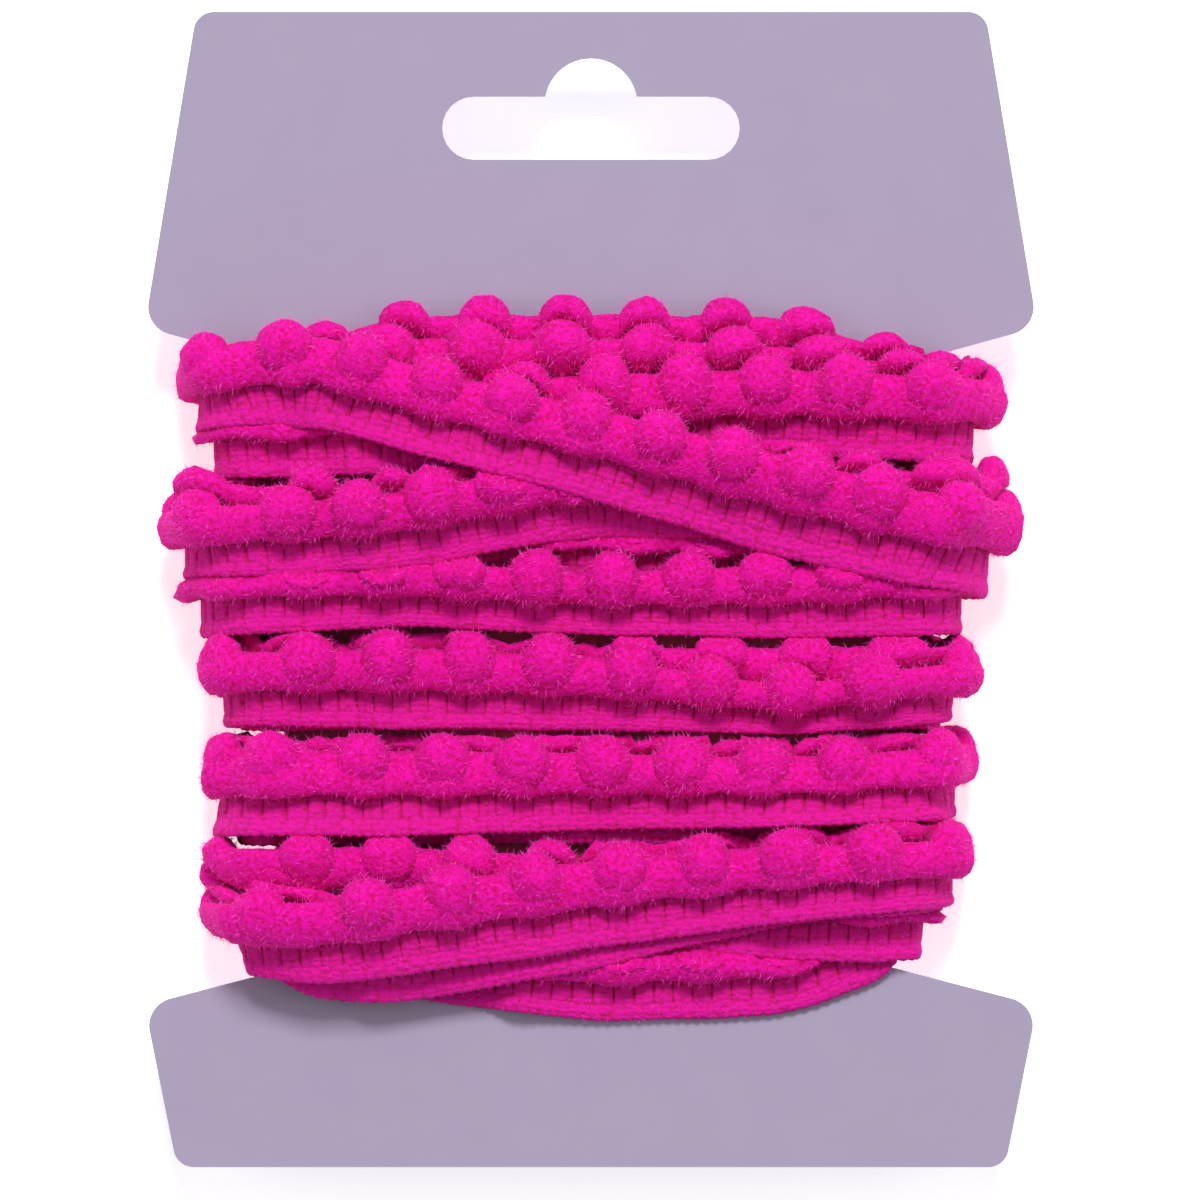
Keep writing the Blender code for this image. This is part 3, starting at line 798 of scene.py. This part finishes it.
hidden = 1 - shows(band_length[:, None], across, pressed)[:, SPREADING].mean(axis=1, keepdims=True)
toward_edge = np.clip((across - SPREADS_FROM) / (SPREADS_FULLY - SPREADS_FROM), 0, 1)
across = across + SPREADS * hidden * toward_edge
over = read_grid(room, band_length[:, None], across) - SKIN_GAP
pressed = np.minimum(pressed, np.maximum(over, UNDERSIDE))
points = wound(band_places, across, pressed)
shown = shows(band_length[:, None], across, pressed)
pile_band = strip_object("pile_band", points, band_length, across, shown)

# Shorn polyester tufts in the same fluorescent dye: dense and matt, with a velvet's pale bloom where it
# turns away, and mottled where tufts part, partly by uneven dye and partly by painted shade in the
# hollows. Where a later turn shuts the light out, the pile is painted deep red, as shade.
TUFT = 0.5


def pile_material(name, covered, dark, bright, bump):
    """Dyed pile in these tones, with tufts that stand bump millimetres out of it; the first tone is the
    painted deep red shade where it is covered, and the darker of the others lies partly as painted shade
    in the hollows between tufts.
    """
    material, tree, shader = new_material(
        name,
        {"Roughness": 0.9, "Specular IOR Level": 0.15, "Sheen Weight": 0.12, "Sheen Roughness": 0.45},
    )
    shader.inputs["Sheen Tint"].default_value = linear("#FF5CC8")
    place = add_node(tree, "ShaderNodeTexCoord").outputs["Object"]
    tufts = add_node(
        tree,
        "ShaderNodeTexNoise",
        {"Scale": 1 / (TUFT * MM), "Detail": 5.0, "Roughness": 0.65},
        {"Vector": place},
    )
    # The tufts' noise is also their relief, so the darker tone lies in its hollows: partly uneven dye,
    # partly painted shade.
    share = add_node(
        tree, "ShaderNodeMapRange", {"From Min": 0.36, "From Max": 0.56}, {"Value": tufts.outputs["Fac"]}
    )
    dye_with_painted_shade(tree, shader, covered, dark, bright, share.outputs[0])
    if bump:
        relief = add_node(
            tree,
            "ShaderNodeBump",
            {"Strength": 0.8, "Distance": bump * MM},
            {"Height": tufts.outputs["Fac"]},
        )
        tree.links.new(relief.outputs["Normal"], shader.inputs["Normal"])
    return material


shorn_pile = pile_material("shorn_neon_pile", "#A80030", "#D00468", "#F20EAC", 0.5)
pile_band.data.materials.append(shorn_pile)
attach(pile_band, "root")
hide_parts("pompoms")


# The pompoms. At even steps along the band its tufts are left longer and shorn round, so that a
# small ball stands out of it, a little uneven and soft. A covered one is pressed like the band.

BALL_RADIUS = 3.05
BALL_FLAT = 0.9  # its height is this share of its width
BALL_ACROSS = 7.65
BALL_HEIGHT = 2.35
BALL_TOP = BALL_HEIGHT + BALL_RADIUS * BALL_FLAT
HELD_WITHIN = 1.5  # the millimetres of pressing over which a ball comes to follow the bent trim
SIDE_PRESSED = 0.25  # how much lower the balls are on the winding's sides, where the trim is taut
BALL_SEGMENTS = 20
BALL_RINGS = 16
BALL_LUMPS = 0.24
SIZE_SPREAD = 0.06

ball_places = np.arange(pompom_count, dtype=float)
ball_places = ball_places[(ball_places > stations[0]) & (ball_places < stations[-1])]

# A ball is a grid rolled up and closed at its poles, so that its faces come in the same order and
# its fibres at the same places each time.
bm = bmesh.new()
bmesh.ops.create_grid(bm, x_segments=BALL_RINGS, y_segments=BALL_SEGMENTS, size=1)
for vert in bm.verts:
    polar, turn = (vert.co.x + 1) / 2 * math.pi, (vert.co.y + 1) / 2 * math.tau
    radius = math.sin(polar)
    vert.co = (radius * math.cos(turn), radius * math.sin(turn), math.cos(polar))
bmesh.ops.remove_doubles(bm, verts=bm.verts, dist=1e-5)
bmesh.ops.recalc_face_normals(bm, faces=bm.faces)
round_ball = np.array([vert.co[:] for vert in bm.verts])
pompom_balls = new_object("pompom_balls", bm)
one_for_each = pompom_balls.modifiers.new("one_for_each", "ARRAY")
one_for_each.use_relative_offset = False
one_for_each.count = len(ball_places)
settled = pompom_balls.evaluated_get(bpy.context.evaluated_depsgraph_get())
pompom_balls.data = bpy.data.meshes.new_from_object(settled)
pompom_balls.modifiers.clear()

rng = np.random.default_rng(7)
side_at, out_at = unit(between(reach, ball_places)), unit(between(outward, ball_places))
middle_across = np.full((len(ball_places), 1), BALL_ACROSS)
foot_at = wound(ball_places, middle_across, np.zeros((len(ball_places), 1)))
spots, showing = [], []
for place, side, out, foot in zip(ball_places, side_at, out_at, foot_at[:, 0]):
    along = unit(np.cross(side, out))
    side = np.cross(out, along)
    sizes = BALL_RADIUS * (1 + rng.uniform(-SIZE_SPREAD, SIZE_SPREAD, 3)) * (1, 1, BALL_FLAT)
    bumps = np.array([lump(Vector(spot * BALL_RADIUS * MM + foot)) for spot in round_ball])
    local = round_ball * (1 + BALL_LUMPS / BALL_RADIUS * bumps[:, None]) * sizes
    local[:, 2] = (local[:, 2] + BALL_HEIGHT) * (1 - SIDE_PRESSED * abs(out[0]))
    length = np.interp(place, fine, length_at) + local[:, 0]
    across = BALL_ACROSS + local[:, 1]
    over = read_grid(room, length, across) - SKIN_GAP
    local[:, 2] = np.clip(pressed_to(local[:, 2], over), UNDERSIDE, None)
    stood = foot + (local @ np.array([along, side, out])) * MM
    laid = wound(place_of(length), across[:, None], local[:, 2:])[:, 0]
    held = np.clip((BALL_TOP - over.min()) / HELD_WITHIN, 0, 1)
    spots.append(stood + (laid - stood) * held)
    showing.append(shows(length, across, local[:, 2]))
spots = np.concatenate(spots)
spots[:, 2] = np.maximum(spots[:, 2], TABLE_GAP * MM)
pompom_balls.data.vertices.foreach_set("co", spots.ravel())
layer = pompom_balls.data.attributes.new("shown", "FLOAT", "POINT")
layer.data.foreach_set("value", np.concatenate(showing))
pompom_balls.data.update()
pompom_balls.data.shade_smooth()
pompom_balls.data.materials.append(shorn_pile)
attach(pompom_balls, "root")
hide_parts("pompoms")


# The cut fibres. Every tuft ends in fine fibre tips that stand out of the shorn surface at all
# angles and blur its outline, and brushed yarn has shorter ones.

FIBRE_SIDES = 3
STRAY = 0.9  # how far a fibre leans off the surface's normal at most, along each axis
SHORTEST = 0.4  # the shortest fibre's share of the longest one's length

# The first tone is the painted deep red shade where a fibre's surface is covered.
fibre_tips = pile_material("fine_neon_fibres", "#A80030", "#F01CB0", "#FF60D8", 0)


def fibre_object(name, source, count_per_mm2, length, thickness, seed):
    """Fibres standing on what shows of a piece, as one mesh of fine spikes, and none near the table."""
    made = bpy.data.objects.new(name, source.data.copy())
    bpy.context.scene.collection.objects.link(made)
    tree = bpy.data.node_groups.new(name, "GeometryNodeTree")
    tree.is_modifier = True
    tree.interface.new_socket("Geometry", in_out="INPUT", socket_type="NodeSocketGeometry")
    tree.interface.new_socket("Geometry", in_out="OUTPUT", socket_type="NodeSocketGeometry")
    given = add_node(tree, "NodeGroupInput").outputs[0]
    shown = add_node(tree, "GeometryNodeInputNamedAttribute", {"data_type": "FLOAT", "Name": "shown"})
    height = add_node(
        tree, "ShaderNodeSeparateXYZ", links={0: add_node(tree, "GeometryNodeInputPosition").outputs[0]}
    )
    off_table = add_node(
        tree,
        "ShaderNodeMath",
        {"operation": "GREATER_THAN", 1: 2 * length * MM},
        {0: height.outputs["Z"]},
    )
    density = add_node(
        tree,
        "ShaderNodeMath",
        {"operation": "MULTIPLY", 1: count_per_mm2 / MM**2},
        {0: shown.outputs["Attribute"]},
    )
    density = add_node(
        tree,
        "ShaderNodeMath",
        {"operation": "MULTIPLY"},
        {0: density.outputs[0], 1: off_table.outputs[0]},
    )
    roots = add_node(
        tree,
        "GeometryNodeDistributePointsOnFaces",
        {"distribute_method": "RANDOM", "Seed": seed},
        {"Mesh": given, "Density": density.outputs[0]},
    )
    stray = add_node(
        tree,
        "FunctionNodeRandomValue",
        {"data_type": "FLOAT_VECTOR", "Min": (-STRAY,) * 3, "Max": (STRAY,) * 3, "Seed": seed + 1},
    )
    lean = add_node(
        tree,
        "ShaderNodeVectorMath",
        {"operation": "ADD"},
        {0: roots.outputs["Normal"], 1: stray.outputs["Value"]},
    )
    turn = add_node(
        tree, "FunctionNodeAlignRotationToVector", {"axis": "Z"}, {"Vector": lean.outputs[0]}
    )
    size = add_node(
        tree,
        "FunctionNodeRandomValue",
        {"data_type": "FLOAT", "Min": SHORTEST, "Max": 1.0, "Seed": seed + 2},
    )
    spike = add_node(
        tree,
        "GeometryNodeMeshCone",
        {
            "fill_type": "NGON",
            "Vertices": FIBRE_SIDES,
            "Radius Top": 0.0,
            "Radius Bottom": thickness * MM,
            "Depth": length * MM,
        },
    )
    fibres = add_node(
        tree,
        "GeometryNodeInstanceOnPoints",
        links={
            "Points": roots.outputs["Points"],
            "Instance": spike.outputs["Mesh"],
            "Rotation": turn.outputs[0],
            "Scale": size.outputs[1],
        },
    )
    real = add_node(tree, "GeometryNodeRealizeInstances", links={"Geometry": fibres.outputs[0]})
    finish = add_node(tree, "GeometryNodeSetMaterial", links={"Geometry": real.outputs[0]})
    finish.inputs["Material"].default_value = fibre_tips
    tree.links.new(finish.outputs[0], add_node(tree, "NodeGroupOutput").inputs[0])
    made.modifiers.new("fibres", "NODES").node_group = tree
    made.data.materials.clear()
    made.data.materials.append(fibre_tips)
    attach(made, "root")
    return made


for name, source, node, count, length, thickness, seed in (
    ("ball_fibres", pompom_balls, "pompoms", 2.6, 0.95, 0.04, 11),
    ("band_fibres", pile_band, "pompoms", 2.0, 0.9, 0.04, 21),
    ("yarn_fibres", heading_tape, "tape", 1.9, 0.5, 0.035, 31),
):
    made = fibre_object(name, source, count, length, thickness, seed)
    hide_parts(node)
